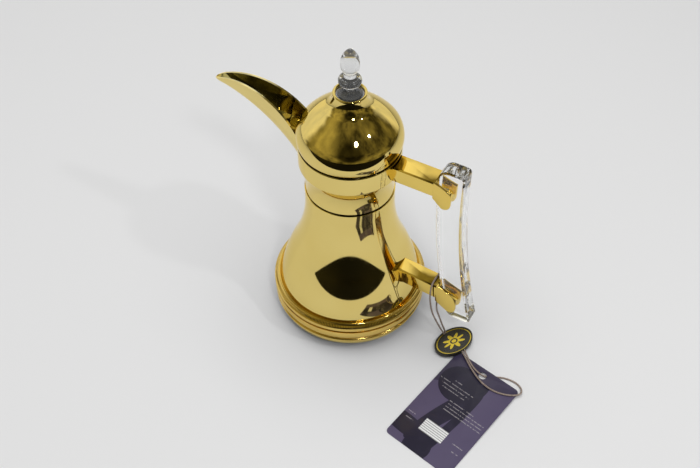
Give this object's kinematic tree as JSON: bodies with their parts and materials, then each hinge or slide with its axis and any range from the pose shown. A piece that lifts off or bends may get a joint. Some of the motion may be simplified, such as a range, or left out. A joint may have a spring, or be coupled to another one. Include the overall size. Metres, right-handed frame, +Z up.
{
  "type": "coffee pot",
  "caption": "Gold bell-shaped coffee pot with an open curved beak, domed lid that turns and lifts out with its stopper, clear bar grip on two arms and a hang tag on a cord.",
  "frame": {"origin": "centre of the foot's underside, on the pot's axis", "axes": "+Z up along the pot's axis, +X from the axis to the grip, so the beak points along -X; +Y completes the right-handed set"},
  "size_m": [0.3316, 0.2112, 0.3007],
  "materials": {
    "gold": "gold plated, polished",
    "gold_ring": "gold plated, ribbed and knurled",
    "gold_beak": "gold plated, polished",
    "gold_lid": "gold plated, polished",
    "gold_arm": "gold plated, bevelled",
    "flask_glass": "silvered glass",
    "clear_acrylic": "clear, polished",
    "liner": "satin",
    "rubber": "matt",
    "silicone": "satin",
    "steel": "satin",
    "card": "matt laminated card with a faint tonal print",
    "label": "matt blank paper",
    "seal_plastic": "gloss",
    "cord": "twisted"
  },
  "bodies": {
    "pot": {"foot_pad": "rubber", "base_cup": "gold", "base_ring": "gold_ring", "base_cushion": "rubber", "flask_outer": "flask_glass", "flask_inner": "flask_glass", "mouth_gasket": "silicone", "upper_arm_screw": "steel", "lower_arm_screw": "steel", "head_collar": "gold", "body_shell": "gold", "pour_insert": "liner", "rim_seal": "silicone", "beak": "gold_beak", "upper_stud": "steel", "lower_stud": "steel", "grip": "clear_acrylic", "upper_arm": "gold_arm", "lower_arm": "gold_arm", "upper_clasp": "gold_arm", "lower_clasp": "gold_arm", "tag_card": "card", "tag_label": "label", "tag_seal": "seal_plastic", "tag_loop_cord": "cord", "tag_card_cord": "cord"},
    "stopper": {"stopper_sleeve": "liner", "stopper_seal": "silicone"},
    "lid": {"lid_dome": "gold_lid", "collar_ring": "gold_lid", "finial_washer": "silicone", "finial": "clear_acrylic", "finial_rod": "steel", "stopper_core": "liner"}
  },
  "joints": [
    {"name": "lid_lift", "type": "slide", "parent": "pot", "child": "stopper", "axis": [0, 0, 1], "range_m": [0, 0.1]},
    {"name": "lid_turn", "type": "hinge", "parent": "stopper", "child": "lid", "pos_m": [0, 0, 0.2], "axis": [0, 0, 1], "range_deg": [0, 90]}
  ]
}
